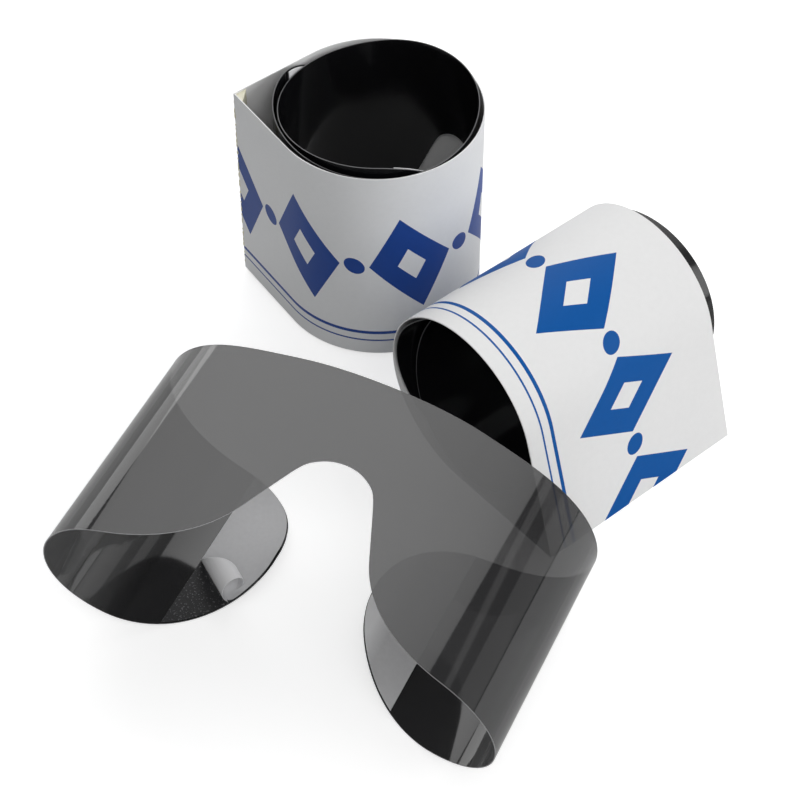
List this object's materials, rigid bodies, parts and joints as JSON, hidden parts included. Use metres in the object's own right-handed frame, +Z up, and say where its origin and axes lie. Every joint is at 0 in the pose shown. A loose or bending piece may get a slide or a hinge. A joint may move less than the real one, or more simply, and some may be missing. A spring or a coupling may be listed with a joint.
{
  "type": "post mydriatic sunglasses",
  "caption": "Roll-up wrap-around dark film shields for dilated eyes, shown opened out and rolled up in paper sleeves.",
  "frame": {"origin": "on the table, under the middle of the box round the whole group", "axes": "+Z up, +X to the right and +Y away from someone who stands at the opened pair"},
  "size_m": [0.1732, 0.2012, 0.068],
  "materials": {
    "tinted_film": "smoke-grey see-through film, glossy both sides",
    "grip_adhesive": "dark speckled pressure-sensitive adhesive",
    "release_liner": "pale grey matte release paper",
    "sleeve_paper": "satin white paper with a plain blue print",
    "seam_glue": "dried pale yellow glue"
  },
  "bodies": {
    "root": {"open_film": "tinted_film", "open_left_grip_pad": "grip_adhesive", "open_right_grip_pad": "grip_adhesive", "upright_film": "tinted_film", "upright_left_grip_pad": "grip_adhesive", "upright_right_grip_pad": "grip_adhesive", "upright_left_liner": "release_liner", "upright_right_liner": "release_liner", "lying_film": "tinted_film", "lying_left_grip_pad": "grip_adhesive", "lying_right_grip_pad": "grip_adhesive", "lying_left_liner": "release_liner", "lying_right_liner": "release_liner"},
    "upright_sleeve": {"upright_sleeve": "sleeve_paper", "upright_sleeve_glue": "seam_glue"},
    "lying_sleeve": {"lying_sleeve": "sleeve_paper", "lying_sleeve_glue": "seam_glue"},
    "open_left_liner": {"open_left_liner": "release_liner"},
    "open_right_liner": {"open_right_liner": "release_liner"}
  },
  "joints": [
    {"name": "upright_sleeve_slide", "type": "slide", "parent": "root", "child": "upright_sleeve", "axis": [0, 0, 1], "range_m": [0, 0.075]},
    {"name": "lying_sleeve_slide", "type": "slide", "parent": "root", "child": "lying_sleeve", "axis": [0.7615, 0.6481, 0], "range_m": [0, 0.075]},
    {"name": "open_left_liner_peel", "type": "slide", "parent": "root", "child": "open_left_liner", "axis": [-0.3927, -0.8537, 0.342], "range_m": [0, 0.08]},
    {"name": "open_right_liner_peel", "type": "slide", "parent": "root", "child": "open_right_liner", "axis": [-0.3927, -0.8537, 0.342], "range_m": [0, 0.08]}
  ]
}
